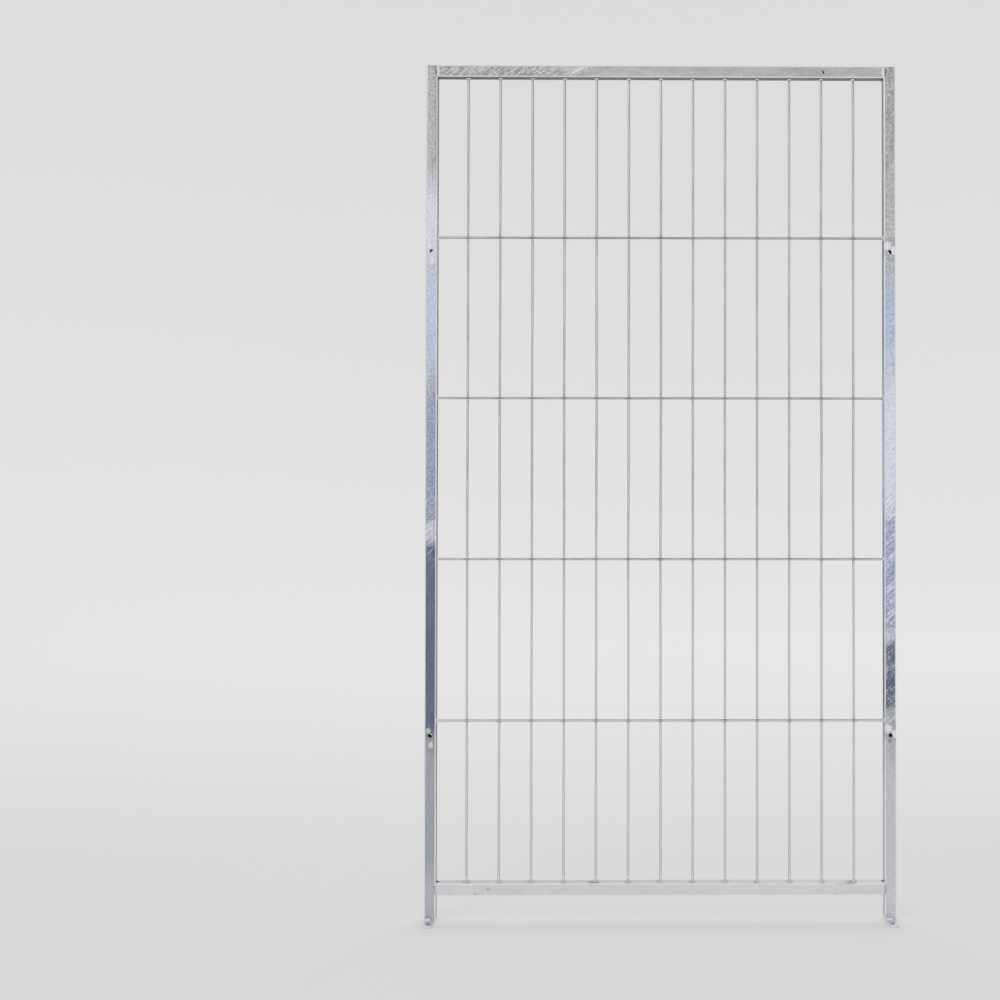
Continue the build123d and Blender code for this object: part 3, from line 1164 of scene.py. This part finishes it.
# Cross bar end welds: the same ring where each cross bar butts on the face of a stile.
cross_end_y = cross_boxes[0][0].y + cross_radius
for side_name, end_x, turn in (
    ("left", bottom_low.x, math.pi / 2),
    ("right", bottom_high.x, -math.pi / 2),
):
    end_welds = grow(
        f"cross_end_welds_{side_name}",
        collar,
        bright_weld,
        points=[(end_x, cross_end_y, p.z) for p in cross_places],
        Turn=(0.0, turn, 0.0),
        Height=collar_height,
        Seed=5.0 + end_x,
    )
    finish_weld(end_welds, f"cross_bar_end_welds_{side_name}")


# Crossing welds: where two bars were pressed together and fused by current, a small ragged
# lump of steel has squeezed out round the joint.
nugget, given = open_tree(
    "crossing_nugget",
    {"Width": 0.0044, "Thickness": 0.0013, "Height": 0.0040, "Unevenness": 0.0028, "Seed": 0.0},
)
ball = add_node(nugget, "GeometryNodeMeshIcoSphere", {"Radius": 1.0, "Subdivisions": 4})
part = point_parts(nugget)
rounded = maths(nugget, "SUBTRACT", 1.25, maths(nugget, "ABSOLUTE", part["X"]))
shaped = shape_weld(
    nugget,
    ball.outputs["Mesh"],
    rounded,
    product(nugget, part["X"], given["Width"]),
    product(nugget, part["Y"], given["Thickness"]),
    product(nugget, part["Z"], given["Height"]),
)
placed = copies(nugget, given["Geometry"], shaped, (0.0, 0.0, 0.0))
placed = scatter_uneven(nugget, placed, given["Unevenness"], 300.0, given["Seed"])
close_tree(nugget, placed, given["Surface"])

crossing_y = bar_places[0].y - bar_radius + 0.0003
for number, middle in enumerate(cross_places, 1):
    crossing_welds = grow(
        f"crossing_lumps_{number}",
        nugget,
        bright_weld,
        points=[(p.x, crossing_y, middle.z) for p in bar_places],
        Seed=number * 1.7,
    )
    finish_weld(crossing_welds, f"crossing_welds_{number}")


# Corner seams: a rippled arc-weld bead down the front and the back of each corner joint, with
# fine spatter thrown on the tubes beside it.
seam, given = open_tree(
    "rippled_seam",
    {
        "Length": 0.022,
        "Width": 0.005,
        "Height": 0.0009,
        "Ripple Pitch": 0.0014,
        "Ripple Depth": 0.22,
        "Toe": 0.35,
        "Turn": (0.0, 0.0, 0.0),
        "Unevenness": 0.0007,
        "Spatter": 14000.0,
        "Spatter Size": 0.00035,
        "Spatter Seed": 1,
        "Seed": 0.0,
    },
)
rod, part = unit_rod(seam, 24, 72)
off_middle = maths(seam, "ABSOLUTE", part["X"])
lean = product(seam, maths(seam, "POWER", off_middle, 2.0), 0.5)
down_seam = product(seam, part["Z"], given["Length"])
travel = maths(seam, "DIVIDE", down_seam, given["Ripple Pitch"])
ripples_so_far = maths(seam, "ADD", travel, lean)
wave = maths(seam, "SINE", product(seam, ripples_so_far, math.tau))
ripple = maths(seam, "MULTIPLY_ADD", wave, given["Ripple Depth"], 1.0)
near_end = maths(seam, "ABSOLUTE", product(seam, part["Z"], 1.98))
to_end = maths(seam, "POWER", near_end, 8.0)
taper = maths(seam, "SQRT", maths(seam, "SUBTRACT", 1.0, to_end))
half_width = product(seam, product(seam, given["Width"], 0.5), taper)
stand = product(seam, product(seam, given["Height"], ripple), taper)
crest = product(seam, maths(seam, "ABSOLUTE", part["Y"]), ripple)
# Toe tilts the rise, so the weld's painted shade lies more on one side of the bead.
crest = maths(seam, "MULTIPLY_ADD", part["X"], given["Toe"], crest)
shaped = shape_weld(
    seam,
    rod,
    crest,
    product(seam, part["X"], half_width),
    product(seam, part["Y"], stand),
    down_seam,
)
beads = copies(seam, given["Geometry"], shaped, given["Turn"])
beads = scatter_uneven(seam, beads, given["Unevenness"], 350.0, given["Seed"])
spatter_side = 0.022
patch = add_node(
    seam,
    "GeometryNodeMeshGrid",
    {"Size X": spatter_side, "Size Y": spatter_side, "Vertices X": 2, "Vertices Y": 2},
).outputs["Mesh"]
patches = copies(seam, given["Geometry"], patch, (math.pi / 2, 0.0, 0.0))
drops_at = add_node(
    seam,
    "GeometryNodeDistributePointsOnFaces",
    {"Mesh": patches, "Density": given["Spatter"], "Seed": given["Spatter Seed"]},
).outputs["Points"]
drop_size = add_node(
    seam, "FunctionNodeRandomValue", {"Min": 0.35, "Max": 1.4}, data_type="FLOAT"
)
drop = add_node(
    seam, "GeometryNodeMeshIcoSphere", {"Radius": given["Spatter Size"], "Subdivisions": 2}
).outputs["Mesh"]
drops = add_node(
    seam,
    "GeometryNodeInstanceOnPoints",
    {
        "Points": drops_at,
        "Instance": keep_rise(seam, drop, 1.0),
        "Scale": drop_size.outputs["Value"],
    },
).outputs[0]
both = add_node(seam, "GeometryNodeJoinGeometry")
seam.links.new(beads, both.inputs[0])
seam.links.new(drops, both.inputs[0])
close_tree(seam, both.outputs[0], given["Surface"])

for number, (rail_name, side_name) in enumerate(
    (("top", "left"), ("top", "right"), ("bottom", "left"), ("bottom", "right"))
):
    low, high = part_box(f"corner_welds_{rail_name}_{side_name}")
    side = -1 if side_name == "left" else 1
    joint_x = bottom_low.x if side < 0 else bottom_high.x
    joint_z = (low.z + high.z) / 2
    seams = grow(
        f"seams_{rail_name}_{side_name}",
        seam,
        bright_weld if rail_name == "top" else dull_weld,
        points=[(joint_x, bottom_low.y, joint_z), (joint_x, bottom_high.y, joint_z)],
        Length=high.z - low.z,
        Toe=-0.8 * side,
        Spatter_Seed=number + 3,
        Seed=number * 2.3,
    )
    finish_weld(seams, f"corner_welds_{rail_name}_{side_name}")

# Foot welds: one short bead in the corner between the front of each stile and its foot.
for side_name in ("left", "right"):
    low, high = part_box(f"foot_weld_{side_name}")
    foot_bead = grow(
        f"foot_bead_{side_name}",
        seam,
        bright_weld,
        points=[((low.x + high.x) / 2, high.y, low.z)],
        Length=high.x - low.x,
        Width=2.4 * (high.z - low.z),
        Height=1.2 * (high.y - low.y),
        Ripple_Pitch=0.002,
        Ripple_Depth=0.08,
        Toe=0.0,
        Turn=(0.0, math.pi / 2, 0.0),
        Spatter=0.0,
        Seed=low.x * 9.0,
    )
    finish_weld(foot_bead, f"foot_weld_{side_name}")
